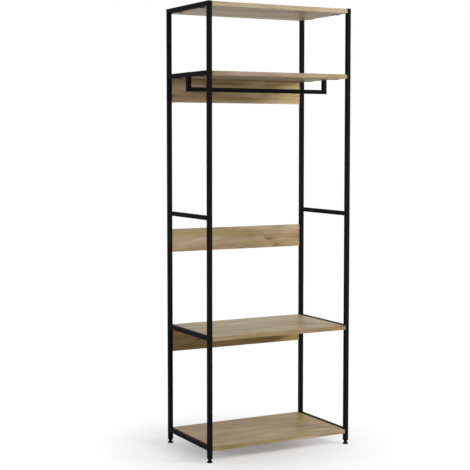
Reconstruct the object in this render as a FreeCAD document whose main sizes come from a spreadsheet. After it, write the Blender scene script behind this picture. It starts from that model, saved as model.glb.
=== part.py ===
import FreeCAD, Part
import math
import os
import Sketcher

# Open clothes rack. Two ladder side frames, welded from square tube, carry four shelves, three back
# boards and a garment rail, and stand on four levelling feet. X runs along the shelves, -Y is the
# front, Z is up, and the origin is on the floor under the middle of the rack. Lengths are millimetres.

DRIVING_SIZES = {
    # Overall size of the two frames, standing on the feet
    "width": 690,
    "depth": 400,
    "height": 1900,
    # Square tube of the uprights, the rails and the garment rail
    "tube": 18,
    "wall": 1.2,
    "tube_round": 1,
    "bore_round": 0.5,
    # Tops of the cross rails: the upper one from the top, the others from the floor
    "top_bay": 280,
    "middle_level": 1026,
    "lower_level": 528,
    "bottom_level": 68,
    # Shelves, each laid between the rails, with its recesses over four tabs
    "board": 18,
    "recess": 2,
    "shelf_gap": 0.5,
    # Tabs welded under the rails
    "tab_thick": 2.5,
    "tab_width": 20,
    "tab_reach": 18,
    "tab_inset": 4,
    "tab_slack": 0.5,
    "tab_from_face": 92,
    # Back boards between the rear uprights
    "back_thick": 12,
    "back_height": 100,
    "back_gap": 0.5,
    "middle_back_top": 947,
    "back_screw_pitch": 60,
    # Garment rail under the upper shelf
    "bar_drop": 44,
    # Plastic plugs in the open tube ends
    "plug_flange": 2,
    "plug_clearance": 0.1,
    "cap_stem": 12,
    "insert_stem": 30,
    "drop_stem": 20,
    # Wood screws
    "screw_radius": 2,
    "screw_tip": 4,
    "screw_head_radius": 3.75,
    "screw_head_height": 2.3,
    "shelf_screw_length": 14,
    "back_screw_length": 45,
    "pilot_play": 0.5,
    # Bolts that hold the garment rail
    "bolt_radius": 3,
    "bolt_head_radius": 6,
    "bolt_head_height": 1.5,
    "bolt_length": 36,
    # Levelling feet
    "pad_radius": 12.5,
    "pad_top_radius": 8,
    "pad_rim": 3,
    "pad_height": 6,
    "pad_floor": 1.5,
    "lip_radius": 4,
    "lip_height": 1.6,
    "lip_play": 0.1,
    "neck_radius": 3,
    "collar_flats": 15,
    "collar_height": 10,
    "stud_radius": 4,
    "stud_length": 28,
    # Fits
    "thread_clearance": 0.05,
    "hole_slack": 0.25,
    "cut_over": 1,
}

# Expressions shared by several pieces
POST_X = "(sizes.width / 2 - sizes.tube / 2)"
POST_Y = "(sizes.depth / 2 - sizes.tube / 2)"
INNER_X = "(sizes.width / 2 - sizes.tube)"
TAB_Y = "(sizes.depth / 2 - sizes.tab_from_face)"
BACK_Y = "(sizes.depth / 2 - sizes.back_thick)"
BORE = "(sizes.tube - 2 * sizes.wall)"
UPRIGHT_START = "(sizes.pad_height + sizes.collar_height + sizes.plug_flange)"
UPPER_LEVEL = "(sizes.height - sizes.top_bay)"
UPPER_SEAT = f"({UPPER_LEVEL} - sizes.tube)"
BAR_TOP = f"({UPPER_SEAT} - sizes.bar_drop)"
SCREW_HOLE = "sizes.screw_radius + sizes.hole_slack"
SCREW_PILOT = "sizes.screw_radius + sizes.thread_clearance"

LEVELS = {
    "top": "sizes.height",
    "upper": UPPER_LEVEL,
    "middle": "sizes.middle_level",
    "lower": "sizes.lower_level",
    "bottom": "sizes.bottom_level",
}
SHELF_LEVELS = ("top", "upper", "lower", "bottom")
SIDES = {"left": "-1", "right": "1"}
ENDS = {"front": "-1", "rear": "1"}

DIRECTIONS = {"+X": (1, 0, 0), "-X": (-1, 0, 0), "+Y": (0, 1, 0), "+Z": (0, 0, 1), "-Z": (0, 0, -1)}
OPPOSITE = {"+X": "-X", "-X": "+X", "+Z": "-Z", "-Z": "+Z"}

doc = FreeCAD.newDocument("clothes_rack")
sheet = doc.addObject("Spreadsheet::Sheet", "sizes")
for row, (alias, size) in enumerate(DRIVING_SIZES.items(), start=1):
    sheet.set(f"A{row}", alias)
    sheet.set(f"B{row}", str(size))
    sheet.setAlias(f"B{row}", alias)
doc.recompute()

nodes = []


def number(expression):
    """Value of an expression, for a sketch's starting shape."""
    return float(sheet.evalExpression(expression))


def along(point, heading, distance):
    """Expressions for the point at a distance from another one, along a heading."""
    steps = DIRECTIONS[heading]
    return tuple(f"{start} + {step} * ({distance})" for start, step in zip(point, steps))


def place(item, point, heading="+Z"):
    """Turns an item's own Z to a heading and binds its place."""
    turn = FreeCAD.Rotation(FreeCAD.Vector(0, 0, 1), FreeCAD.Vector(*DIRECTIONS[heading]))
    item.Placement = FreeCAD.Placement(FreeCAD.Vector(0, 0, 0), turn)
    for axis, expression in zip("xyz", point):
        item.setExpression(f"Placement.Base.{axis}", expression)


def box(name, lengths, corner):
    """Block with its lowest corner at a point."""
    item = doc.addObject("Part::Box", name)
    for side, expression in zip(("Length", "Width", "Height"), lengths):
        item.setExpression(side, expression)
    place(item, corner)
    return item


def cylinder(name, radius, height, point, heading="+Z"):
    """Round bar that starts at a point and runs along a heading."""
    item = doc.addObject("Part::Cylinder", name)
    item.setExpression("Radius", radius)
    item.setExpression("Height", height)
    place(item, point, heading)
    return item


def cone(name, start_radius, end_radius, height, point, heading="+Z"):
    """Round taper that starts at a point and runs along a heading."""
    item = doc.addObject("Part::Cone", name)
    item.setExpression("Radius1", start_radius)
    item.setExpression("Radius2", end_radius)
    item.setExpression("Height", height)
    place(item, point, heading)
    return item


def fuse(name, items):
    """One solid made of touching pieces."""
    item = doc.addObject("Part::MultiFuse", name)
    item.Shapes = items
    return item


def cut(name, base, tools):
    """A base with the tools' shapes taken away."""
    cutters = doc.addObject("Part::Compound", f"{name}_cutters")
    cutters.Links = tools
    item = doc.addObject("Part::Cut", name)
    item.Base = base
    item.Tool = cutters
    return item


def group(name, items):
    """Several separate solids in one sub-part."""
    item = doc.addObject("Part::Compound", name)
    item.Links = items
    return item


def keep(item):
    """Lists a finished sub-part."""
    nodes.append(item)
    return item


def base_sketch(body, name):
    """Empty sketch on a body's own XY plane."""
    sketch = body.newObject("Sketcher::SketchObject", name)
    plane = next(item for item in body.Origin.OriginFeatures if item.Role == "XY_Plane")
    sketch.AttachmentSupport = [(plane, "")]
    sketch.MapMode = "FlatFace"
    return sketch


def rounded_square(sketch, side, rounding, tag):
    """Square with rounded corners about the sketch's origin, bound by its side and its rounding."""
    half = number(side) / 2
    radius = number(rounding)
    flat = half - radius
    corners = ((flat, -flat, -90), (flat, flat, 0), (-flat, flat, 90), (-flat, -flat, 180))
    lines = (((-flat, -half), (flat, -half)), ((half, -flat), (half, flat)),
             ((flat, half), (-flat, half)), ((-half, flat), (-half, -flat)))
    edges = []
    arcs = []
    for (start, end), (x, y, angle) in zip(lines, corners):
        line = Part.LineSegment(FreeCAD.Vector(*start, 0), FreeCAD.Vector(*end, 0))
        edges.append(sketch.addGeometry(line, False))
        circle = Part.Circle(FreeCAD.Vector(x, y, 0), FreeCAD.Vector(0, 0, 1), radius)
        arc = Part.ArcOfCircle(circle, math.radians(angle), math.radians(angle + 90))
        arcs.append(sketch.addGeometry(arc, False))
    for index in range(4):
        following = edges[(index + 1) % 4]
        sketch.addConstraint(Sketcher.Constraint("Tangent", edges[index], 2, arcs[index], 1))
        sketch.addConstraint(Sketcher.Constraint("Tangent", arcs[index], 2, following, 1))
        direction = ("Horizontal", "Vertical")[index % 2]
        sketch.addConstraint(Sketcher.Constraint(direction, edges[index]))
    for arc in arcs[1:]:
        sketch.addConstraint(Sketcher.Constraint("Equal", arcs[0], arc))
    origin = (-1, 1)
    sketch.addConstraint(Sketcher.Constraint("Symmetric", arcs[0], 3, arcs[2], 3, *origin))
    bound = (
        ("across", Sketcher.Constraint("DistanceX", edges[3], 1, edges[1], 1, 2 * half), side),
        ("up", Sketcher.Constraint("DistanceY", edges[0], 1, edges[2], 1, 2 * half), side),
        ("round", Sketcher.Constraint("Radius", arcs[0], radius), rounding),
    )
    for word, constraint, expression in bound:
        index = sketch.addConstraint(constraint)
        sketch.renameConstraint(index, f"{tag}_{word}")
        sketch.setExpression(f"Constraints.{tag}_{word}", expression)


def pad(body, sketch, length, backwards=False):
    """Extrudes a sketch along its normal, or the other way."""
    feature = body.newObject("PartDesign::Pad", f"{sketch.Name}_pad")
    feature.Profile = sketch
    feature.Reversed = backwards
    feature.setExpression("Length", length)


def square_tube(name, length, point, heading):
    """Hollow square tube that starts at a point and runs along a heading."""
    body = doc.addObject("PartDesign::Body", name)
    section = base_sketch(body, f"{name}_section")
    rounded_square(section, "sizes.tube", "sizes.tube_round", "outside")
    rounded_square(section, BORE, "sizes.bore_round", "bore")
    pad(body, section, length)
    place(body, point, heading)
    return body


def tube_plug(name, stem, point, heading):
    """Plug for a tube's end: a stem along the heading, and a flange behind the point."""
    body = doc.addObject("PartDesign::Body", name)
    flange = base_sketch(body, f"{name}_flange")
    rounded_square(flange, "sizes.tube", "sizes.tube_round", "flange")
    pad(body, flange, "sizes.plug_flange", backwards=True)
    core = base_sketch(body, f"{name}_core")
    rounded_square(core, f"{BORE} - 2 * sizes.plug_clearance", "sizes.bore_round", "core")
    pad(body, core, stem)
    place(body, point, heading)
    return body


def bored_plug(name, stem, radius, point, heading):
    """Plug with a threaded hole right through it."""
    blank = tube_plug(f"{name}_blank", stem, point, heading)
    start = along(point, OPPOSITE[heading], "sizes.plug_flange + sizes.cut_over")
    length = f"{stem} + sizes.plug_flange + 2 * sizes.cut_over"
    return cut(name, blank, [cylinder(f"{name}_bore", radius, length, start, heading)])


def wood_screw(name, length, point, heading):
    """Pan-head screw with its head's underside at a point and its shank along a heading."""
    straight = f"{length} - sizes.screw_tip"
    head = cylinder(f"{name}_head", "sizes.screw_head_radius", "sizes.screw_head_height",
                    point, OPPOSITE[heading])
    shank = cylinder(f"{name}_shank", "sizes.screw_radius", straight, point, heading)
    tip = cone(f"{name}_tip", "sizes.screw_radius", "sizes.screw_radius / 4", "sizes.screw_tip",
               along(point, heading, straight), heading)
    return fuse(name, [head, shank, tip])


def make_uprights():
    """Four uprights, with through holes in the rear pair for the back boards' screws."""
    length = f"sizes.height - sizes.plug_flange - {UPRIGHT_START}"
    for end, depthwise in ENDS.items():
        for side, sideways in SIDES.items():
            name = f"upright_{end}_{side}"
            foot = (f"{sideways} * {POST_X}", f"{depthwise} * {POST_Y}", UPRIGHT_START)
            if end == "front":
                keep(square_tube(name, length, foot, "+Z"))
                continue
            tube = square_tube(f"{name}_tube", length, foot, "+Z")
            start_x = f"{sideways} * {POST_X} - sizes.tube / 2 - sizes.cut_over"
            holes = []
            for board in BACK_TOPS:
                for index, height in enumerate(back_screw_heights(board)):
                    point = (start_x, f"{BACK_Y} + sizes.back_thick / 2", height)
                    holes.append(cylinder(f"{name}_{board}_hole_{index}", SCREW_HOLE,
                                          "sizes.tube + 2 * sizes.cut_over", point, "+X"))
            keep(cut(name, tube, holes))


def make_rails():
    """Five cross rails in each side frame; the upper pair is drilled for the garment rail's bolts."""
    length = "sizes.depth - 2 * sizes.tube"
    for level_name, level in LEVELS.items():
        for side, sideways in SIDES.items():
            name = f"rail_{level_name}_{side}"
            middle = f"{sideways} * {POST_X}"
            start = (middle, "-sizes.depth / 2 + sizes.tube", f"{level} - sizes.tube / 2")
            if level_name != "upper":
                keep(square_tube(name, length, start, "+Y"))
                continue
            tube = square_tube(f"{name}_tube", length, start, "+Y")
            under = (middle, "0", f"{level} - sizes.tube - sizes.cut_over")
            hole = cylinder(f"{name}_bolt_hole", "sizes.bolt_radius + sizes.hole_slack",
                            "sizes.tube + 2 * sizes.cut_over", under)
            keep(cut(name, tube, [hole]))


def tab_places():
    """Name, sideways sign and middle line of each of a shelf's four tabs."""
    for side, sideways in SIDES.items():
        for end, depthwise in ENDS.items():
            yield f"{side}_{end}", sideways, f"({depthwise} * {TAB_Y})"


def tab_screw_x(sideways):
    """Where a tab's screw stands along X: half way along the part under the shelf."""
    return f"{sideways} * ({INNER_X} - sizes.tab_reach / 2)"


def make_tabs(level_name):
    """Four flat tabs welded under a pair of rails, each with a hole for one screw."""
    seat = f"({LEVELS[level_name]} - sizes.tube)"
    length = "(sizes.tube - sizes.tab_inset + sizes.tab_reach)"
    tabs = []
    for place_name, sideways, middle_y in tab_places():
        name = f"tab_{level_name}_{place_name}"
        middle_x = f"{sideways} * (sizes.width / 2 - sizes.tab_inset - {length} / 2)"
        corner = (f"{middle_x} - {length} / 2", f"{middle_y} - sizes.tab_width / 2",
                  f"{seat} - sizes.tab_thick")
        plate = box(f"{name}_plate", (length, "sizes.tab_width", "sizes.tab_thick"), corner)
        under = (tab_screw_x(sideways), middle_y, f"{seat} - sizes.tab_thick - sizes.cut_over")
        hole = cylinder(f"{name}_hole", SCREW_HOLE, "sizes.tab_thick + 2 * sizes.cut_over", under)
        tabs.append(cut(name, plate, [hole]))
    keep(group(f"shelf_tabs_{level_name}", tabs))


def make_shelf(level_name):
    """Board between the side frames, resting on its tabs in four shallow recesses."""
    name = f"shelf_{level_name}"
    underside = f"({LEVELS[level_name]} - sizes.tube - sizes.recess)"
    length = f"(2 * ({INNER_X} - sizes.shelf_gap))"
    corner = (f"-{length} / 2", "-sizes.depth / 2", underside)
    blank = box(f"{name}_blank", (length, "sizes.depth", "sizes.board"), corner)
    recess_length = "(sizes.tab_reach + sizes.tab_slack)"
    recess_width = "(sizes.tab_width + 2 * sizes.tab_slack)"
    pilot_length = "sizes.recess + sizes.shelf_screw_length - sizes.tab_thick + sizes.pilot_play"
    cutters = []
    for place_name, sideways, middle_y in tab_places():
        middle_x = f"{sideways} * ({INNER_X} - {recess_length} / 2)"
        low = (f"{middle_x} - {recess_length} / 2", f"{middle_y} - {recess_width} / 2",
               f"{underside} - sizes.cut_over")
        sides = (recess_length, recess_width, "sizes.recess + sizes.cut_over")
        cutters.append(box(f"{name}_recess_{place_name}", sides, low))
        start = (tab_screw_x(sideways), middle_y, underside)
        cutters.append(cylinder(f"{name}_pilot_{place_name}", SCREW_PILOT, pilot_length, start))
    keep(cut(name, blank, cutters))


def make_shelf_screws(level_name):
    """Four screws driven up through a shelf's tabs."""
    head_seat = f"{LEVELS[level_name]} - sizes.tube - sizes.tab_thick"
    screws = []
    for place_name, sideways, middle_y in tab_places():
        point = (tab_screw_x(sideways), middle_y, head_seat)
        screws.append(wood_screw(f"shelf_screw_{level_name}_{place_name}",
                                 "sizes.shelf_screw_length", point, "+Z"))
    keep(group(f"shelf_screws_{level_name}", screws))


# Top edges of the back boards: two lie just under a shelf, the middle one hangs free
BACK_TOPS = {
    "upper": f"({UPPER_SEAT} - sizes.recess - sizes.back_gap)",
    "middle": "sizes.middle_back_top",
    "lower": "(sizes.lower_level - sizes.tube - sizes.recess - sizes.back_gap)",
}


def back_screw_heights(board):
    """Heights of the two screws at each end of a back board."""
    centre = f"{BACK_TOPS[board]} - sizes.back_height / 2"
    return (f"{centre} - sizes.back_screw_pitch / 2", f"{centre} + sizes.back_screw_pitch / 2")


def make_back_board(board):
    """Narrow upright board between the rear uprights, with two pilot holes in each end."""
    name = f"back_board_{board}"
    length = f"(2 * ({INNER_X} - sizes.back_gap))"
    corner = (f"-{length} / 2", BACK_Y, f"{BACK_TOPS[board]} - sizes.back_height")
    blank = box(f"{name}_blank", (length, "sizes.back_thick", "sizes.back_height"), corner)
    depth = "sizes.back_screw_length - sizes.tube + sizes.pilot_play"
    pilots = []
    for side, heading in (("left", "+X"), ("right", "-X")):
        for index, height in enumerate(back_screw_heights(board)):
            start = (f"{SIDES[side]} * {INNER_X}", f"{BACK_Y} + sizes.back_thick / 2", height)
            pilots.append(cylinder(f"{name}_pilot_{side}_{index}", SCREW_PILOT, depth, start, heading))
    keep(cut(name, blank, pilots))


def make_back_screws(board):
    """Four screws driven through the rear uprights into a back board's ends."""
    screws = []
    for side, heading in (("left", "+X"), ("right", "-X")):
        for index, height in enumerate(back_screw_heights(board)):
            point = (f"{SIDES[side]} * sizes.width / 2", f"{BACK_Y} + sizes.back_thick / 2", height)
            screws.append(wood_screw(f"back_screw_{board}_{side}_{index}",
                                     "sizes.back_screw_length", point, heading))
    keep(group(f"back_screws_{board}", screws))


def make_garment_rail():
    """Bar on two drops, bolted up under the upper rails at mid depth, with capped ends."""
    half = "(sizes.width / 2 - sizes.plug_flange)"
    bar_middle = f"{BAR_TOP} - sizes.tube / 2"
    keep(square_tube("hanging_bar", f"2 * {half}", (f"-{half}", "0", bar_middle), "+X"))
    keep(tube_plug("bar_cap_left", "sizes.cap_stem", (f"-{half}", "0", bar_middle), "+X"))
    keep(tube_plug("bar_cap_right", "sizes.cap_stem", (half, "0", bar_middle), "-X"))
    bolts = []
    for side, sideways in SIDES.items():
        middle = f"{sideways} * {POST_X}"
        drop_length = "sizes.bar_drop - sizes.plug_flange"
        keep(square_tube(f"hanger_drop_{side}", drop_length, (middle, "0", BAR_TOP), "+Z"))
        drop_end = (middle, "0", f"{UPPER_SEAT} - sizes.plug_flange")
        keep(bored_plug(f"drop_plug_{side}", "sizes.drop_stem",
                        "sizes.bolt_radius + sizes.thread_clearance", drop_end, "-Z"))
        head_seat = (middle, "0", UPPER_LEVEL)
        shank = cylinder(f"hanger_bolt_{side}_shank", "sizes.bolt_radius", "sizes.bolt_length",
                         head_seat, "-Z")
        head = cylinder(f"hanger_bolt_{side}_head", "sizes.bolt_head_radius",
                        "sizes.bolt_head_height", head_seat)
        bolts.append(fuse(f"hanger_bolt_{side}", [shank, head]))
    keep(group("hanger_bolts", bolts))


def make_foot_pad(name, x, y):
    """Round pad with a tapered top and an undercut socket that the stud turns in."""
    rim = cylinder(f"{name}_rim", "sizes.pad_radius", "sizes.pad_rim", (x, y, "0"))
    taper = cone(f"{name}_taper", "sizes.pad_radius", "sizes.pad_top_radius",
                 "sizes.pad_height - sizes.pad_rim", (x, y, "sizes.pad_rim"))
    solid = fuse(f"{name}_solid", [rim, taper])
    cavity = cylinder(f"{name}_cavity", "sizes.lip_radius + sizes.thread_clearance",
                      "sizes.lip_height + 2 * sizes.lip_play", (x, y, "sizes.pad_floor"))
    throat = cylinder(f"{name}_throat", "sizes.neck_radius + sizes.thread_clearance",
                      "sizes.pad_height - sizes.pad_floor + sizes.cut_over", (x, y, "sizes.pad_floor"))
    keep(cut(name, solid, [cavity, throat]))


def make_foot_stud(name, x, y):
    """Stud with a lip held in the pad, a hexagon to turn it by and a thread up into the upright."""
    lip_start = "(sizes.pad_floor + sizes.lip_play)"
    lip = cylinder(f"{name}_lip", "sizes.lip_radius", "sizes.lip_height", (x, y, lip_start))
    neck = cylinder(f"{name}_neck", "sizes.neck_radius", f"sizes.pad_height - {lip_start}",
                    (x, y, lip_start))
    collar = doc.addObject("Part::Prism", f"{name}_collar")
    collar.Polygon = 6
    collar.setExpression("Circumradius", "sizes.collar_flats / sqrt(3)")
    collar.setExpression("Height", "sizes.collar_height")
    place(collar, (x, y, "sizes.pad_height"))
    shank = cylinder(f"{name}_shank", "sizes.stud_radius", "sizes.stud_length",
                     (x, y, "sizes.pad_height + sizes.collar_height"))
    keep(fuse(name, [lip, neck, collar, shank]))


def make_upright_ends():
    """Cap, threaded insert, stud and pad of each upright."""
    for end, depthwise in ENDS.items():
        for side, sideways in SIDES.items():
            corner = f"{end}_{side}"
            x = f"{sideways} * {POST_X}"
            y = f"{depthwise} * {POST_Y}"
            cap_seat = (x, y, "sizes.height - sizes.plug_flange")
            keep(tube_plug(f"upright_cap_{corner}", "sizes.cap_stem", cap_seat, "-Z"))
            keep(bored_plug(f"foot_insert_{corner}", "sizes.insert_stem",
                            "sizes.stud_radius + sizes.thread_clearance", (x, y, UPRIGHT_START), "+Z"))
            make_foot_stud(f"foot_stud_{corner}", x, y)
            make_foot_pad(f"foot_pad_{corner}", x, y)


make_uprights()
make_rails()
for shelf_name in SHELF_LEVELS:
    make_tabs(shelf_name)
    make_shelf(shelf_name)
    make_shelf_screws(shelf_name)
for board_name in BACK_TOPS:
    make_back_board(board_name)
    make_back_screws(board_name)
make_garment_rail()
make_upright_ends()
doc.recompute()

failed = [item.Label for item in doc.Objects if {"Invalid", "Error"} & set(item.State)]
if failed:
    raise RuntimeError(f"objects that failed to build: {failed}")
for node in nodes:
    if node.Shape.isNull() or not node.Shape.isValid():
        raise RuntimeError(f"{node.Label} has no valid shape")

os.makedirs("parts", exist_ok=True)
for node in nodes:
    node.Shape.exportStep(f"parts/{node.Label}.step")
print(len(nodes), "sub-parts written")
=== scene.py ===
# Looks of an open clothes rack: powder-coated tube frames, oak-look boards, welds, fasteners and feet.
# X runs along the shelves, -Y is the front, Z is up. Lengths are metres.
from functools import partial
import math

import bmesh
import bpy
from mathutils import Matrix, Vector


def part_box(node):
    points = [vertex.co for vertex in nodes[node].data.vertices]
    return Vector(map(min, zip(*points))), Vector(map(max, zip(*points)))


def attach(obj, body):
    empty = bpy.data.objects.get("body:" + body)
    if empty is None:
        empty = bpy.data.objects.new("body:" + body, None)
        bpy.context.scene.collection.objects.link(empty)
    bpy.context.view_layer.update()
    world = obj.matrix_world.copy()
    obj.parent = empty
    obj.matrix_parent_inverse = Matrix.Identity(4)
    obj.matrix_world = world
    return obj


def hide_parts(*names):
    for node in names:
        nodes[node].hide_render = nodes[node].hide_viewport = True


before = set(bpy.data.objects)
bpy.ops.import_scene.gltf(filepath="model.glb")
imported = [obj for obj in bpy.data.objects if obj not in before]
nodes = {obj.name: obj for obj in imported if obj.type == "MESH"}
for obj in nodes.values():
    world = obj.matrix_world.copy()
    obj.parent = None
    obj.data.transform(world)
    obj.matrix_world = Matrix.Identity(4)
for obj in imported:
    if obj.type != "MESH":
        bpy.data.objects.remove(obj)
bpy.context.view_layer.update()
scene = bpy.context.scene

LEVELS = ("top", "upper", "middle", "lower", "bottom")
SHELVES = ("top", "upper", "lower", "bottom")
BACKS = ("upper", "middle", "lower")
SIDES = ("left", "right")
CORNERS = ("front_left", "front_right", "rear_left", "rear_right")

# Camera at the photograph's viewing angle
CAMERA_PLACE = (-2.6098, -4.6445, 1.3434)
CAMERA_YAW = math.radians(28.247)
CAMERA_PITCH = math.radians(3.998)
CAMERA_LENS = 93.68
SENSOR = 36.0
CAMERA_SHIFT = -0.0238

# Sizes of small details
SCREW_HEAD_RADIUS = 0.00375
SCREW_HEAD_HEIGHT = 0.0023
SCREW_RADIUS = 0.002
SCREW_TIP = 0.004
SHELF_SCREW_LENGTH = 0.014
BACK_SCREW_LENGTH = 0.045
BOLT_HEAD_RADIUS = 0.006
BOLT_HEAD_HEIGHT = 0.0015
BOLT_RADIUS = 0.003
BOLT_LENGTH = 0.036
STUD_RADIUS = 0.004
STUD_LENGTH = 0.028
THREAD_PITCH = 0.00125
THREAD_DEPTH = 0.0007
THREAD_ROWS = 8
LIP_RADIUS = 0.004
LIP_HEIGHT = 0.0016
NECK_RADIUS = 0.003
COLLAR_FLATS = 0.015
COLLAR_HEIGHT = 0.010
WELD_LEG = 0.0022
WELD_LENGTH = 0.0145
WELD_RIPPLES = 9
EDGE_STRIP = 0.0009
ROUND_STEPS = 24
DOME_STEPS = 5
DOME_FLAT = 0.6

# Small roundings: widths, steps on the small pieces, angle from which an edge is rounded,
# and the distance at which the points of a piece join
BOARD_ROUNDING = 0.0006
TAB_ROUNDING = 0.0005
PLUG_ROUNDING = 0.0006
PAD_ROUNDING = 0.0007
FINE_SEGMENTS = 3
ROUNDED_ANGLE = math.radians(40)
JOIN_DISTANCE = 0.00001

# Angles over which an edge of a detail stays sharp
SCREW_SHARP = math.radians(35)
STUD_SHARP = math.radians(32)
WELD_SHARP = math.radians(50)


# Shader helpers

def node(tree, kind, sockets=None, **settings):
    """Adds a shader node; a socket takes a constant or another node's output."""
    made = tree.nodes.new(kind)
    for name, value in settings.items():
        setattr(made, name, value)
    for key, value in (sockets or {}).items():
        if isinstance(value, bpy.types.NodeSocket):
            tree.links.new(value, made.inputs[key])
        else:
            made.inputs[key].default_value = value
    return made


def calc(tree, operation, *values, clamp=False):
    """One arithmetic step."""
    made = node(tree, "ShaderNodeMath", dict(enumerate(values)), operation=operation, use_clamp=clamp)
    return made.outputs[0]


def total(tree, values):
    """Sum of several outputs."""
    result = values[0]
    for value in values[1:]:
        result = calc(tree, "ADD", result, value)
    return result


def spread(tree, value, low, high, start, end):
    """Maps a range of values to another one, held at its ends."""
    sockets = {"Value": value, "From Min": low, "From Max": high, "To Min": start, "To Max": end}
    return node(tree, "ShaderNodeMapRange", sockets, clamp=True).outputs[0]


def noise(tree, vector, scale, detail=3.0, roughness=0.5):
    """Soft noise about one half."""
    sockets = {"Vector": vector, "Scale": scale, "Detail": detail, "Roughness": roughness}
    return node(tree, "ShaderNodeTexNoise", sockets).outputs[0]


def ramp(tree, value, stops):
    """Colour along a few stops."""
    made = node(tree, "ShaderNodeValToRGB", {"Fac": value})
    elements = made.color_ramp.elements
    while len(elements) < len(stops):
        elements.new(0.5)
    for element, (position, colour) in zip(elements, stops):
        element.position = position
        element.color = (*colour, 1.0)
    return made.outputs[0]


def tint(tree, colour, strength, mode, other):
    """Blends a colour over another one."""
    made = node(tree, "ShaderNodeMix", data_type="RGBA", blend_type=mode)
    factor, first, second = made.inputs[0], made.inputs[6], made.inputs[7]
    for socket, value in ((factor, strength), (first, colour), (second, other)):
        if isinstance(value, bpy.types.NodeSocket):
            tree.links.new(value, socket)
        else:
            socket.default_value = value
    return made.outputs[2]


def new_material(name):
    """Empty material with its tree, its main shader and the object's own coordinates."""
    material = bpy.data.materials.new(name)
    material.use_nodes = True
    tree = material.node_tree
    shader = tree.nodes["Principled BSDF"]
    place = node(tree, "ShaderNodeTexCoord").outputs["Object"]
    return material, tree, shader, place


def connect(tree, shader, colour, roughness, height, relief):
    """Joins colour, roughness and a relief of some depth and strength to a shader."""
    depth, strength = relief
    bump = node(tree, "ShaderNodeBump", {"Height": height, "Distance": depth, "Strength": strength})
    tree.links.new(colour, shader.inputs["Base Color"])
    tree.links.new(roughness, shader.inputs["Roughness"])
    tree.links.new(bump.outputs[0], shader.inputs["Normal"])


# Oak-look foil

# Grain from broad to fine: waves per metre along and across, detail, roughness and weight
GRAIN = (
    (1.3, 7.0, 2.0, 0.50, 0.20),
    (3.2, 24.0, 3.0, 0.55, 0.34),
    (7.0, 80.0, 4.0, 0.60, 0.29),
    (20.0, 360.0, 5.0, 0.68, 0.19),
)
# Space between the layers in the noise, so that they differ
LAYER_STEP = 3.0
# Slow wander of the grain to the sides: width, waves per metre along and across, detail
GRAIN_WANDER = 0.07
WANDER_ALONG = 2.2
WANDER_ACROSS = 4.0
WANDER_DETAIL = 2.0
OAK_TONES = ((0.35, (0.135, 0.080, 0.023)), (0.405, (0.190, 0.120, 0.040)), (0.47, (0.265, 0.181, 0.071)),
             (0.53, (0.318, 0.226, 0.098)), (0.595, (0.387, 0.288, 0.144)), (0.65, (0.420, 0.325, 0.175)))
# Depth over which the upper side's colour gives way to the painted shade of the underside, inside the board
UNDER_STEP = 0.001
# Change of hue in broad bands, drawn like the grain
HUE_GRAIN = (2.0, 34.0, 3.0, 0.6, 17.0)
HUE_CASTS = ((0.37, (1.0, 0.93, 0.95)), (0.63, (0.955, 0.965, 0.74)))
# Pores: their grain, the noise at which they start and are full, strength and colour
PORE_GRAIN = (30.0, 1100.0, 3.0, 0.6, 13.0)
PORE_START = 0.56
PORE_FULL = 0.63
PORE_STRENGTH = 0.40
PORE_COLOUR = (0.45, 0.36, 0.28, 1.0)
# Dark streaks, broken up by one layer of the grain
STREAK_LAYER = 2
STREAK_BREAK = (0.35, 0.60, 1.0, 0.35)
STREAK_COLOUR = (0.40, 0.29, 0.19, 1.0)
# Knots, in knot sizes: length of the oval and how far the grain bends round it, then the dark heart
KNOT_LENGTH = 2.6
KNOT_BEND = 1.8
HEART_POWER = 2.0
HEART_STRENGTH = 0.8
HEART_COLOUR = (0.50, 0.31, 0.17, 1.0)
# Edge strip and the seam beside it, in strip widths from the edge, then the seam's strength and colour
STRIP_FULL = 0.85
SEAM_START = 0.8
SEAM_FADE = 1.05
SEAM_END = 1.25
SEAM_STRENGTH = 0.15
SEAM_COLOUR = (0.35, 0.30, 0.25, 1.0)
# Gloss and relief: two tones and the roughness at them, rise of each feature, depth and strength
OAK_ROUGHNESS = (0.4, 0.6, 0.50, 0.42)
OAK_SHINE = 0.4
PORE_RISE = -0.6
GRAIN_RISE = 0.4
SEAM_RISE = -1.0
OAK_RELIEF = (0.00012, 0.5)


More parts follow.
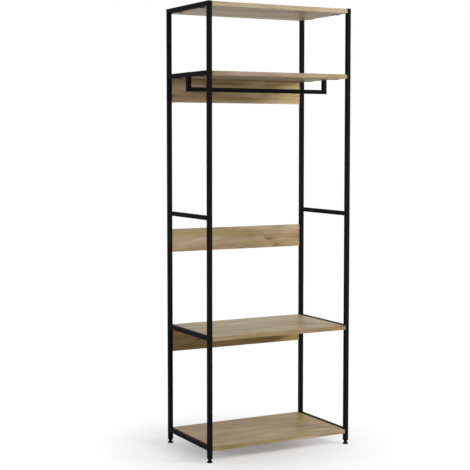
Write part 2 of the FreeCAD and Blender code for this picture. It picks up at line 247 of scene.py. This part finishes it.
def oak_board(name, box, across_axis, offset, tone_with_painted_light, underside_painted_shade, edge_tone_with_sheen, knots, streaks):
    """Oak-look foil on a board: long grain along X, knots and dark streaks, strips glued to the edges; its
    tones are partly painted light, with painted shade on the undersides and a painted sheen on the edge
    strips.
    """
    material, tree, shader, place = new_material(name)
    low, high = box
    split = node(tree, "ShaderNodeSeparateXYZ", {0: place})
    along = split.outputs["X"]
    across = split.outputs["Y" if across_axis == 1 else "Z"]
    through = split.outputs["Z" if across_axis == 1 else "Y"]
    # Mask of the underside or front face, which takes the painted shade
    core = sum(corner[3 - across_axis] for corner in box) / 2
    shaded_underside = spread(tree, through, core, core - UNDER_STEP, 0.0, 1.0)

    half_length = (high.x - low.x) / 2
    half_width = (high[across_axis] - low[across_axis]) / 2
    middle = (high[across_axis] + low[across_axis]) / 2
    from_end = calc(tree, "SUBTRACT", half_length, calc(tree, "ABSOLUTE", along))
    from_middle = calc(tree, "ABSOLUTE", calc(tree, "SUBTRACT", across, middle))
    from_side = calc(tree, "SUBTRACT", half_width, from_middle)
    from_edge = calc(tree, "MINIMUM", from_end, from_side)
    on_strip = spread(tree, from_edge, EDGE_STRIP, EDGE_STRIP * STRIP_FULL, 0.0, 1.0)
    seam_outside = spread(tree, from_edge, EDGE_STRIP * SEAM_START, EDGE_STRIP, 0.0, 1.0)
    seam_inside = spread(tree, from_edge, EDGE_STRIP * SEAM_END, EDGE_STRIP * SEAM_FADE, 0.0, 1.0)
    seam = calc(tree, "MULTIPLY", seam_outside, seam_inside)

    def spot(spot_along, spot_across, length, width):
        """Soft oval, 1 in its middle."""
        run = calc(tree, "DIVIDE", calc(tree, "SUBTRACT", along, spot_along), length)
        rise = calc(tree, "DIVIDE", calc(tree, "SUBTRACT", across, spot_across), width)
        squares = [calc(tree, "MULTIPLY", run, run), calc(tree, "MULTIPLY", rise, rise)]
        return calc(tree, "EXPONENT", calc(tree, "MULTIPLY", total(tree, squares), -1.0))

    hearts = []
    pushes = []
    for knot_along, knot_across, size in knots:
        fall = spot(knot_along, knot_across, size * KNOT_LENGTH, size)
        hearts.append(calc(tree, "POWER", fall, HEART_POWER))
        pushes.append(calc(tree, "MULTIPLY", fall, size * KNOT_BEND))

    shifted = calc(tree, "ADD", along, offset[0])
    slow_parts = {0: calc(tree, "MULTIPLY", shifted, WANDER_ALONG),
                  1: calc(tree, "MULTIPLY", across, WANDER_ACROSS),
                  2: offset[1]}
    slow = noise(tree, node(tree, "ShaderNodeCombineXYZ", slow_parts).outputs[0], 1.0, WANDER_DETAIL)
    wander = calc(tree, "MULTIPLY", calc(tree, "SUBTRACT", slow, 0.5), GRAIN_WANDER)
    lane = total(tree, [across, wander] + pushes)

    def grain(stretch, pitch, detail, roughness, phase):
        """Noise drawn out along the board."""
        parts = {0: calc(tree, "MULTIPLY", shifted, stretch),
                 1: calc(tree, "MULTIPLY", lane, pitch),
                 2: calc(tree, "MULTIPLY_ADD", through, pitch, offset[1] + phase)}
        vector = node(tree, "ShaderNodeCombineXYZ", parts).outputs[0]
        return noise(tree, vector, 1.0, detail, roughness)

    layers = []
    weighted = []
    for index, (stretch, pitch, detail, roughness, weight) in enumerate(GRAIN):
        layers.append(grain(stretch, pitch, detail, roughness, LAYER_STEP * index))
        weighted.append(calc(tree, "MULTIPLY", layers[-1], weight))
    tone = total(tree, weighted)
    pores = spread(tree, grain(*PORE_GRAIN), PORE_START, PORE_FULL, 0.0, 1.0)

    colour = ramp(tree, tone, OAK_TONES)
    colour = tint(tree, colour, 1.0, "MULTIPLY", ramp(tree, grain(*HUE_GRAIN), HUE_CASTS))
    # Edge strips: their own tone, partly a painted sheen
    edge_colour_with_sheen = tint(tree, colour, 1.0, "MULTIPLY", (*edge_tone_with_sheen, 1.0))
    # Painted shade of the underside or front face
    underside_shade_colour = tint(tree, colour, 1.0, "MULTIPLY", (*underside_painted_shade, 1.0))
    # Tone of the board, partly its own and partly painted light and shade
    colour = tint(tree, colour, 1.0, "MULTIPLY", (*tone_with_painted_light, 1.0))
    colour = tint(tree, colour, shaded_underside, "MIX", underside_shade_colour)
    colour = tint(tree, colour, on_strip, "MIX", edge_colour_with_sheen)
    for streak in streaks:
        broken = spread(tree, layers[STREAK_LAYER], *STREAK_BREAK)
        dark = calc(tree, "MULTIPLY", spot(*streak), broken)
        colour = tint(tree, colour, dark, "MULTIPLY", STREAK_COLOUR)
    colour = tint(tree, colour, calc(tree, "MULTIPLY", pores, PORE_STRENGTH), "MULTIPLY", PORE_COLOUR)
    if hearts:
        heart = calc(tree, "MULTIPLY", total(tree, hearts), HEART_STRENGTH, clamp=True)
        colour = tint(tree, colour, heart, "MULTIPLY", HEART_COLOUR)
    colour = tint(tree, colour, calc(tree, "MULTIPLY", seam, SEAM_STRENGTH), "MULTIPLY", SEAM_COLOUR)

    height = total(tree, [calc(tree, "MULTIPLY", pores, PORE_RISE),
                          calc(tree, "MULTIPLY", layers[-1], GRAIN_RISE),
                          calc(tree, "MULTIPLY", seam, SEAM_RISE)])
    connect(tree, shader, colour, spread(tree, tone, *OAK_ROUGHNESS), height, OAK_RELIEF)
    shader.inputs["Specular IOR Level"].default_value = OAK_SHINE
    return material


# Powder coat, plastic and blackened steel
# Noises are given as waves per metre, detail and roughness,
# gloss as two values of a noise and the roughness at them, and relief as depth and strength.

COAT_CLOUD = (22.0, 4.0)
COAT_PEEL = (420.0, 2.0)
COAT_GRIT = (2600.0, 2.0, 0.6)
COAT_RUB = (60.0, 6.0, 0.7)
COAT_TONES = ((0.3, (0.0070, 0.0070, 0.0071)), (0.7, (0.0099, 0.0098, 0.0098)))
RUB_START = 0.68
RUB_FULL = 0.80
RUB_STRENGTH = 0.5
RUB_COLOUR = (0.0165, 0.0165, 0.0167, 1.0)
GRIT_GLOSS = 0.5
GRIT_RISE = 0.45
COAT_ROUGHNESS = (0.5, 1.0, 0.58, 0.72)
COAT_SHINE = 0.038
COAT_RELIEF = (0.00003, 0.4)

PLASTIC_GRAIN = (1700.0, 3.0, 0.6)
PLASTIC_CLOUD = (90.0, 3.0)
PLASTIC_TONES = ((0.3, (0.0040, 0.0040, 0.0041)), (0.7, (0.0070, 0.0070, 0.0072)))
PLASTIC_ROUGHNESS = (0.3, 0.7, 0.50, 0.66)
PLASTIC_SHINE = 0.02
PLASTIC_RELIEF = (0.00008, 0.6)

HARDWARE_CLOUD = (260.0, 4.0, 0.6)
HARDWARE_SCUFF = (1900.0, 4.0, 0.7)
HARDWARE_TONES = ((0.35, (0.004, 0.004, 0.0042)), (0.72, (0.013, 0.0128, 0.0125)))
HARDWARE_ROUGHNESS = (0.3, 0.7, 0.42, 0.58)
HARDWARE_METAL = 0.5
HARDWARE_SHINE = 0.05
HARDWARE_RELIEF = (0.00003, 0.5)


def black_steel():
    """Matt powder coat: orange peel, fine grit and a few lighter rubs."""
    material, tree, shader, place = new_material("black_powder_coat")
    cloud = noise(tree, place, *COAT_CLOUD)
    peel = noise(tree, place, *COAT_PEEL)
    grit = noise(tree, place, *COAT_GRIT)
    rub = spread(tree, noise(tree, place, *COAT_RUB), RUB_START, RUB_FULL, 0.0, 1.0)
    colour = ramp(tree, cloud, COAT_TONES)
    colour = tint(tree, colour, calc(tree, "MULTIPLY", rub, RUB_STRENGTH), "MIX", RUB_COLOUR)
    matt = total(tree, [cloud, calc(tree, "MULTIPLY", grit, GRIT_GLOSS)])
    height = total(tree, [peel, calc(tree, "MULTIPLY", grit, GRIT_RISE)])
    connect(tree, shader, colour, spread(tree, matt, *COAT_ROUGHNESS), height, COAT_RELIEF)
    shader.inputs["Specular IOR Level"].default_value = COAT_SHINE
    return material


def black_plastic():
    """Moulded plastic with an even eroded texture."""
    material, tree, shader, place = new_material("black_moulded_plastic")
    grain = noise(tree, place, *PLASTIC_GRAIN)
    colour = ramp(tree, noise(tree, place, *PLASTIC_CLOUD), PLASTIC_TONES)
    connect(tree, shader, colour, spread(tree, grain, *PLASTIC_ROUGHNESS), grain, PLASTIC_RELIEF)
    shader.inputs["Specular IOR Level"].default_value = PLASTIC_SHINE
    return material


def dark_hardware():
    """Blackened steel of the screws, bolts and studs, rubbed a little brighter in patches."""
    material, tree, shader, place = new_material("blackened_steel")
    scuff = noise(tree, place, *HARDWARE_SCUFF)
    colour = ramp(tree, noise(tree, place, *HARDWARE_CLOUD), HARDWARE_TONES)
    connect(tree, shader, colour, spread(tree, scuff, *HARDWARE_ROUGHNESS), scuff, HARDWARE_RELIEF)
    shader.inputs["Metallic"].default_value = HARDWARE_METAL
    shader.inputs["Specular IOR Level"].default_value = HARDWARE_SHINE
    return material


# Mesh helpers

def piece(name, mesh_data, material, body, stands_for=()):
    """Puts a finished mesh in the scene, on its body."""
    mesh = bpy.data.meshes.new(name)
    mesh_data.normal_update()
    mesh_data.to_mesh(mesh)
    mesh_data.free()
    made = bpy.data.objects.new(name, mesh)
    scene.collection.objects.link(made)
    mesh.materials.append(material)
    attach(made, body)
    if stands_for:
        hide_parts(*stands_for)


def smooth_faces(shape, sharp_angle):
    """Smooth shading with the edges over an angle kept sharp."""
    for face in shape.faces:
        face.smooth = True
    for edge in shape.edges:
        edge.smooth = edge.is_manifold and edge.calc_face_angle(0.0) < sharp_angle


def skin(shape, rings):
    """Closes a row of rings into one solid."""
    count = len(rings[0])
    for lower, upper in zip(rings, rings[1:]):
        for step in range(count):
            following = (step + 1) % count
            shape.faces.new((lower[step], lower[following], upper[following], upper[step]))
    shape.faces.new(list(reversed(rings[0])))
    shape.faces.new(rings[-1])


def lathe(shape, profile, steps=ROUND_STEPS):
    """Solid about Z from a profile of (radius, height), bottom to top; a radius may depend on the angle."""
    rings = []
    for radius, height in profile:
        ring = []
        for step in range(steps):
            angle = 2 * math.pi * step / steps
            reach = radius(angle) if callable(radius) else radius
            ring.append(shape.verts.new((reach * math.cos(angle), reach * math.sin(angle), height)))
        rings.append(ring)
    skin(shape, rings)


def dome(radius, start, height):
    """Profile points of a shallow dome that ends in a small flat."""
    points = []
    for step in range(DOME_STEPS + 1):
        angle = math.pi / 2 * step / (DOME_STEPS + DOME_FLAT)
        points.append((radius * math.cos(angle), start + height * math.sin(angle)))
    return points


def cut_away(shape, tool):
    """The shape with a tool's solid taken out of it."""
    pair = []
    for part_name, data in (("blank", shape), ("tool", tool)):
        mesh = bpy.data.meshes.new(part_name)
        bmesh.ops.recalc_face_normals(data, faces=data.faces)
        data.to_mesh(mesh)
        data.free()
        made = bpy.data.objects.new(part_name, mesh)
        scene.collection.objects.link(made)
        pair.append(made)
    blank, cutter = pair
    difference = blank.modifiers.new("cut", "BOOLEAN")
    difference.operation = "DIFFERENCE"
    difference.solver = "EXACT"
    difference.object = cutter
    bpy.context.view_layer.update()
    finished = blank.evaluated_get(bpy.context.evaluated_depsgraph_get()).to_mesh()
    result = bmesh.new()
    result.from_mesh(finished)
    for made in pair:
        mesh = made.data
        bpy.data.objects.remove(made)
        bpy.data.meshes.remove(mesh)
    return result


def repeated(master, places):
    """One mesh with a copy of the master at each place."""
    mesh = bpy.data.meshes.new("master")
    master.to_mesh(mesh)
    master.free()
    result = bmesh.new()
    for place in places:
        start = len(result.verts)
        result.from_mesh(mesh)
        result.verts.ensure_lookup_table()
        bmesh.ops.transform(result, matrix=place, verts=result.verts[start:])
    bpy.data.meshes.remove(mesh)
    return result


# Fasteners

# Shares of a head's height: straight rims, depth of the recess, floor of the socket and start of its cut
SCREW_RIM = 0.35
RECESS_DEPTH = 0.75
BOLT_RIM = 0.3
SOCKET_FLOOR = 0.3
SOCKET_TOP = 1.5
# Shares of a head's radius: length and width of the recess's arms, radius of the hexagon socket
RECESS_ARM = 1.1
RECESS_WIDTH = 0.26
SOCKET_RADIUS = 0.42
# Shares of a shank's radius: tip of a screw, end of a bolt and height of that end's chamfer
SCREW_POINT = 0.25
BOLT_END = 0.8
BOLT_CHAMFER = 0.2
# Turn of the screw heads in radians: from one to the next under a shelf, and per metre of height behind
SHELF_SCREW_TURN = 0.4
BACK_SCREW_TURN = 9.0


def screw_master(length):
    """Pan-head wood screw with a cross recess.

    Its head's underside is at the origin and its tip points to +Z.
    """
    shape = bmesh.new()
    rim = SCREW_HEAD_HEIGHT * SCREW_RIM
    crown = [(radius, -height) for radius, height in dome(SCREW_HEAD_RADIUS, rim, SCREW_HEAD_HEIGHT - rim)]
    shank = [(SCREW_HEAD_RADIUS, 0.0), (SCREW_RADIUS, 0.0),
             (SCREW_RADIUS, length - SCREW_TIP), (SCREW_RADIUS * SCREW_POINT, length)]
    lathe(shape, list(reversed(crown)) + shank)
    tool = bmesh.new()
    arm = SCREW_HEAD_RADIUS * RECESS_ARM
    thick = SCREW_HEAD_RADIUS * RECESS_WIDTH
    deep = SCREW_HEAD_HEIGHT * RECESS_DEPTH
    centre = Vector((0, 0, -SCREW_HEAD_HEIGHT))
    for sizes in ((arm, thick, deep * 2), (thick, arm, deep * 2)):
        bar = bmesh.ops.create_cube(tool, size=1.0)["verts"]
        bmesh.ops.scale(tool, vec=sizes, verts=bar)
        bmesh.ops.translate(tool, vec=centre, verts=bar)
    return cut_away(shape, tool)


def bolt_master():
    """Button-head bolt with a hexagon socket.

    Its head's underside is at the origin and its shank points to -Z.
    """
    shape = bmesh.new()
    rim = BOLT_HEAD_HEIGHT * BOLT_RIM
    shank = [(BOLT_RADIUS * BOLT_END, -BOLT_LENGTH),
             (BOLT_RADIUS, -BOLT_LENGTH + BOLT_RADIUS * BOLT_CHAMFER),
             (BOLT_RADIUS, 0.0), (BOLT_HEAD_RADIUS, 0.0)]
    lathe(shape, shank + dome(BOLT_HEAD_RADIUS, rim, BOLT_HEAD_HEIGHT - rim))
    tool = bmesh.new()
    socket = BOLT_HEAD_RADIUS * SOCKET_RADIUS
    socket_ends = (BOLT_HEAD_HEIGHT * SOCKET_FLOOR, BOLT_HEAD_HEIGHT * SOCKET_TOP)
    lathe(tool, [(socket, height) for height in socket_ends], steps=6)
    return cut_away(shape, tool)


def add_screws(material):
    """Screws under the tabs and through the rear uprights, and the bolts of the garment rail."""
    for level in SHELVES:
        name = f"shelf_screws_{level}"
        low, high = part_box(name)
        seat = low.z + SCREW_HEAD_HEIGHT
        spots = [(x, y) for x in (low.x + SCREW_HEAD_RADIUS, high.x - SCREW_HEAD_RADIUS)
                 for y in (low.y + SCREW_HEAD_RADIUS, high.y - SCREW_HEAD_RADIUS)]
        places = []
        for index, (x, y) in enumerate(spots):
            turned = Matrix.Rotation(SHELF_SCREW_TURN * index + x, 4, "Z")
            places.append(Matrix.Translation((x, y, seat)) @ turned)
        shape = repeated(screw_master(SHELF_SCREW_LENGTH), places)
        smooth_faces(shape, SCREW_SHARP)
        piece(f"{name}_detail", shape, material, "rack", [name])
    for board in BACKS:
        name = f"back_screws_{board}"
        low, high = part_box(name)
        middle = (low.y + high.y) / 2
        places = []
        for x, turn in ((low.x + SCREW_HEAD_HEIGHT, 90), (high.x - SCREW_HEAD_HEIGHT, -90)):
            for z in (low.z + SCREW_HEAD_RADIUS, high.z - SCREW_HEAD_RADIUS):
                heading = Matrix.Rotation(math.radians(turn), 4, "Y")
                turned = Matrix.Rotation(BACK_SCREW_TURN * z + x, 4, "Z")
                places.append(Matrix.Translation((x, middle, z)) @ heading @ turned)
        shape = repeated(screw_master(BACK_SCREW_LENGTH), places)
        smooth_faces(shape, SCREW_SHARP)
        piece(f"{name}_detail", shape, material, "rack", [name])
    low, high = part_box("hanger_bolts")
    seat = high.z - BOLT_HEAD_HEIGHT
    places = [Matrix.Translation((x, (low.y + high.y) / 2, seat)) @ Matrix.Rotation(x, 4, "Z")
              for x in (low.x + BOLT_HEAD_RADIUS, high.x - BOLT_HEAD_RADIUS)]
    shape = repeated(bolt_master(), places)
    smooth_faces(shape, SCREW_SHARP)
    piece("hanger_bolts_detail", shape, material, "rack", ["hanger_bolts"])


# Thread of the feet, in thread depths: peak before it is cut flat, and slope of the flanks over one turn
THREAD_CREST = 1.5
THREAD_FLANK = 4.0
# Hexagon of the feet: turned radius as a share of its width, height of a chamfer as a share of its depth
COLLAR_TURNED = 0.47
CHAMFER_SLOPE = 0.6


def thread_radius(height, angle):
    """Radius of a right-hand thread at a height and an angle, run out at both ends."""
    phase = (height / THREAD_PITCH - angle / (2 * math.pi)) % 1.0
    wave = min(1.0, max(0.0, THREAD_CREST - THREAD_FLANK * abs(phase - 0.5)))
    run_out = min(1.0, height / THREAD_PITCH, (STUD_LENGTH - height) / THREAD_PITCH)
    return STUD_RADIUS - THREAD_DEPTH * (1.0 - wave * max(0.0, run_out))


def hexagon_radius(limit, angle):
    """Radius of the studs' hexagon at an angle, turned down to a limit at its chamfers."""
    from_flat = angle % (math.pi / 3) - math.pi / 6
    return min(limit, COLLAR_FLATS / 2 / math.cos(from_flat))


def add_studs(material):
    """Studs of the feet: lip and neck in the pad, chamfered hexagon and a real thread."""
    full = COLLAR_FLATS / math.sqrt(3)
    turned = COLLAR_FLATS * COLLAR_TURNED
    chamfer = (full - turned) * CHAMFER_SLOPE
    rows = round(STUD_LENGTH / THREAD_PITCH * THREAD_ROWS)
    for corner in CORNERS:
        name = f"foot_stud_{corner}"
        low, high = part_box(name)
        thread = high.z - STUD_LENGTH
        collar = thread - COLLAR_HEIGHT
        profile = [(LIP_RADIUS, low.z), (LIP_RADIUS, low.z + LIP_HEIGHT), (NECK_RADIUS, low.z + LIP_HEIGHT),
                   (NECK_RADIUS, collar)]
        profile += [(partial(hexagon_radius, limit), collar + rise) for limit, rise in (
            (turned, 0.0), (full, chamfer), (full, COLLAR_HEIGHT - chamfer), (turned, COLLAR_HEIGHT))]
        for row in range(rows + 1):
            height = STUD_LENGTH * row / rows
            profile.append((partial(thread_radius, height), thread + height))
        shape = bmesh.new()
        lathe(shape, profile)
        middle = (low + high) / 2
        bmesh.ops.translate(shape, vec=(middle.x, middle.y, 0), verts=shape.verts)
        smooth_faces(shape, STUD_SHARP)
        piece(f"{name}_detail", shape, material, name, [name])


# Welds

# Rows of points in each ripple, and how far it swells
RIPPLE_ROWS = 4
RIPPLE_HEIGHT = 0.09
# Thickness of a bead's ends and how fast it grows from there
BEAD_END = 0.35
BEAD_GROWTH = 5.0
# Cross section, in leg lengths: how deep its root sits in the tubes, reach and crown of its face
BEAD_ROOT = 0.3
BEAD_REACH = 0.80
BEAD_CROWN = 0.04
BEAD_STEPS = 4


def bead(shape, corner, run, first, second, length):
    """Rippled fillet weld along a corner line.

    First and second point out of the corner along the two faces.
    """
    rings = []
    rows = WELD_RIPPLES * RIPPLE_ROWS
    for row in range(rows + 1):
        share = row / rows
        ripple = 1.0 + RIPPLE_HEIGHT * math.sin(2 * math.pi * WELD_RIPPLES * share)
        taper = min(1.0, BEAD_END + BEAD_GROWTH * min(share, 1.0 - share))
        leg = WELD_LEG * ripple * taper
        centre = Vector(corner) + run * (length * (share - 0.5))
        ring = [shape.verts.new(centre - (first + second) * WELD_LEG * BEAD_ROOT)]
        for step in range(BEAD_STEPS + 1):
            angle = math.pi / 2 * step / BEAD_STEPS
            bulge = BEAD_REACH + BEAD_CROWN * math.cos(2 * angle) ** 2
            reach = first * math.cos(angle) + second * math.sin(angle)
            ring.append(shape.verts.new(centre + reach * leg * bulge))
        rings.append(ring)
    skin(shape, rings)


def add_welds(material):
    """Beads in the corners between rails and uprights, and between the drops and the bar."""
    across, deep, up = Vector((1, 0, 0)), Vector((0, 1, 0)), Vector((0, 0, 1))
    shape = bmesh.new()
    for level in LEVELS:
        for side in SIDES:
            low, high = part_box(f"rail_{level}_{side}")
            middle = (low.x + high.x) / 2
            for y, inward in ((low.y, deep), (high.y, -deep)):
                bead(shape, (middle, y, low.z), across, inward, -up, WELD_LENGTH)
                if level != "top":
                    bead(shape, (middle, y, high.z), across, inward, up, WELD_LENGTH)
    for side in SIDES:
        low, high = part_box(f"hanger_drop_{side}")
        inner, inward = (high.x, across) if side == "left" else (low.x, -across)
        bead(shape, (inner, 0.0, low.z), deep, inward, up, WELD_LENGTH)
    bmesh.ops.recalc_face_normals(shape, faces=shape.faces)
    smooth_faces(shape, WELD_SHARP)
    piece("weld_beads", shape, material, "rack")


# Finish of the frame's own pieces

def soften(made, width, segments=2):
    """Rounds the sharp edges of a piece a little."""
    weld = made.modifiers.new("join_faces", "WELD")
    weld.merge_threshold = JOIN_DISTANCE
    rounding = made.modifiers.new("soft_edges", "BEVEL")
    rounding.width = width
    rounding.segments = segments
    rounding.limit_method = "ANGLE"
    rounding.angle_limit = ROUNDED_ANGLE
    normals = made.modifiers.new("even_shading", "WEIGHTED_NORMAL")
    normals.keep_sharp = False


def dress(made, material):
    """Gives a piece one material all over."""
    made.data.materials.clear()
    made.data.materials.append(material)


# Boards: stretch of foil; tone of the upper or rear side, partly the board's own and partly painted light;
# painted shade of the underside or front; tone of the edges, partly a painted sheen;
# knots as (along, across, size) and dark streaks as (along, across, length, width)
BOARDS = {
    "shelf_top": ((0.0, 0.0), (1.12, 1.15, 1.30), (0.97, 0.91, 0.78), (1.18, 1.33, 2.15),
                  ((-0.14, 0.05, 0.010),), ()),
    "shelf_upper": ((1.37, 2.9), (1.12, 1.15, 1.30), (0.62, 0.58, 0.40), (1.00, 1.12, 1.70),
                    ((0.17, -0.04, 0.011),), ()),
    "shelf_lower": ((2.74, 5.8), (1.22, 1.34, 1.73), (1.12, 1.15, 1.30), (1.04, 1.08, 1.45),
                    ((-0.10, 0.10, 0.009), (0.21, -0.09, 0.012)), ()),
    "shelf_bottom": ((4.11, 8.7), (1.03, 1.00, 0.97), (1.03, 1.00, 0.97), (1.08, 1.18, 1.62),
                     ((-0.052, 0.111, 0.012), (0.258, -0.094, 0.012), (0.173, -0.075, 0.009)), ()),
    "back_board_upper": ((5.48, 11.6), (1.39, 1.49, 2.02), (1.39, 1.49, 2.02), (1.39, 1.49, 2.02), (),
                         ((-0.06, 1.586, 0.09, 0.007), (0.147, 1.579, 0.07, 0.007),
                          (0.089, 1.519, 0.10, 0.006), (-0.21, 1.545, 0.08, 0.005))),
    "back_board_middle": ((12.3, 7.7), (1.25, 1.38, 2.00), (1.25, 1.38, 2.00), (1.25, 1.38, 2.00),
                          ((0.165, 0.888, 0.012), (0.200, 0.857, 0.009)), ()),
    "back_board_lower": ((8.22, 17.4), (1.06, 0.98, 0.88), (1.06, 0.98, 0.88), (1.06, 0.98, 0.88),
                         ((-0.2, 0.45, 0.008),), ()),
}


def dress_boards():
    """Oak-look foil, each board cut from another stretch of it."""
    for name, foil in BOARDS.items():
        across_axis = 1 if name.startswith("shelf") else 2
        dress(nodes[name], oak_board(f"oak_{name}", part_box(name), across_axis, *foil))
        soften(nodes[name], BOARD_ROUNDING)


def dress_frame(steel, plastic):
    """Powder coat on all the tube and tabs, moulded plastic on plugs and pads."""
    for name, made in nodes.items():
        if name.startswith(("upright_front", "upright_rear", "rail_", "hanging_bar", "hanger_drop")):
            dress(made, steel)
        elif name.startswith("shelf_tabs"):
            dress(made, steel)
            soften(made, TAB_ROUNDING)
        elif name.startswith(("upright_cap", "bar_cap", "drop_plug", "foot_insert")):
            dress(made, plastic)
            soften(made, PLUG_ROUNDING, FINE_SEGMENTS)
        elif name.startswith("foot_pad"):
            dress(made, plastic)
            soften(made, PAD_ROUNDING, FINE_SEGMENTS)


# Studio

WHITE = (1.0, 1.0, 1.0, 1.0)
AMBIENT = 0.2
FLOOR_SIZE = 14.0
FLOOR_MOTTLE = (3.0, 4.0)
FLOOR_GRIT = (240.0, 3.0)
FLOOR_TONES = ((0.3, (0.84, 0.825, 0.81)), (0.7, (0.87, 0.855, 0.84)))
FLOOR_ROUGHNESS = (0.3, 0.7, 0.55, 0.7)
FLOOR_RELIEF = (0.0001, 0.2)
# The floor runs out into white from one distance about a point to another
SHADE_MIDDLE = (-0.05, 0.0, 0.0)
FADE_NEAR = 0.25
FADE_START = 0.15
FADE_END = 0.66
# Lamps: name, place, point they face, size and power
LAMPS = (
    ("key_box", (2.1, -2.1, 1.95), (0.0, 0.0, 1.0), 0.9, 88.0),
    ("top_box", (0.4, -1.8, 3.2), (0.0, 0.0, 0.5), 1.6, 18.0),
    ("back_box", (-0.3, 2.5, 0.8), (0.0, 0.0, 1.5), 1.6, 38.0),
)


def seen_directly(tree):
    """1 for what the camera sees straight, in a gloss or through glass."""
    path = node(tree, "ShaderNodeLightPath").outputs
    glossy = calc(tree, "MAXIMUM", path["Is Camera Ray"], path["Is Glossy Ray"])
    return calc(tree, "MAXIMUM", glossy, path["Is Transmission Ray"])


def make_world():
    """White all round to the eye, softer as a light."""
    world = bpy.data.worlds.new("studio")
    world.use_nodes = True
    scene.world = world
    tree = world.node_tree
    tree.nodes.clear()
    white = node(tree, "ShaderNodeBackground", {"Color": WHITE, "Strength": 1.0}).outputs[0]
    light = node(tree, "ShaderNodeBackground", {"Color": WHITE, "Strength": AMBIENT}).outputs[0]
    both = node(tree, "ShaderNodeMixShader", {0: seen_directly(tree), 1: light, 2: white}).outputs[0]
    node(tree, "ShaderNodeOutputWorld", {"Surface": both})


def make_floor():
    """Pale floor that keeps the rack's shadow and runs out into white."""
    shape = bmesh.new()
    bmesh.ops.create_grid(shape, x_segments=2, y_segments=2, size=FLOOR_SIZE / 2)
    mesh = bpy.data.meshes.new("floor")
    shape.to_mesh(mesh)
    shape.free()
    floor = bpy.data.objects.new("floor", mesh)
    scene.collection.objects.link(floor)
    material, tree, shader, place = new_material("pale_floor")
    colour = ramp(tree, noise(tree, place, *FLOOR_MOTTLE), FLOOR_TONES)
    grit = noise(tree, place, *FLOOR_GRIT)
    connect(tree, shader, colour, spread(tree, grit, *FLOOR_ROUGHNESS), grit, FLOOR_RELIEF)
    reach = node(tree, "ShaderNodeVectorMath", {0: place, 1: SHADE_MIDDLE}, operation="DISTANCE")
    away = reach.outputs["Value"]
    fade = spread(tree, away, FADE_START, FADE_END, FADE_NEAR, 1.0)
    share = calc(tree, "MULTIPLY", fade, seen_directly(tree))
    white = node(tree, "ShaderNodeEmission", {"Color": WHITE, "Strength": 1.0}).outputs[0]
    both = node(tree, "ShaderNodeMixShader", {0: share, 1: shader.outputs[0], 2: white}).outputs[0]
    tree.links.new(both, tree.nodes["Material Output"].inputs["Surface"])
    mesh.materials.append(material)


def lamp(name, place, aim, size, power):
    """Square soft box that faces a point and stays out of the reflections."""
    data = bpy.data.lights.new(name, "AREA")
    data.shape = "SQUARE"
    data.size = size
    data.energy = power
    made = bpy.data.objects.new(name, data)
    made.location = place
    made.visible_glossy = False
    made.rotation_euler = (Vector(aim) - Vector(place)).to_track_quat("-Z", "Y").to_euler()
    scene.collection.objects.link(made)


def make_camera():
    """Camera at the front left of the rack, as in the photograph."""
    data = bpy.data.cameras.new("camera")
    data.sensor_width = SENSOR
    data.lens = CAMERA_LENS
    data.shift_y = CAMERA_SHIFT
    made = bpy.data.objects.new("camera", data)
    made.location = CAMERA_PLACE
    made.rotation_euler = (math.pi / 2 - CAMERA_PITCH, 0.0, -CAMERA_YAW)
    scene.collection.objects.link(made)
    scene.camera = made


steel = black_steel()
plastic = black_plastic()
hardware = dark_hardware()
dress_boards()
dress_frame(steel, plastic)
add_screws(hardware)
add_studs(hardware)
add_welds(steel)

make_world()
make_floor()
for settings in LAMPS:
    lamp(*settings)
make_camera()
scene.view_settings.view_transform = "Standard"
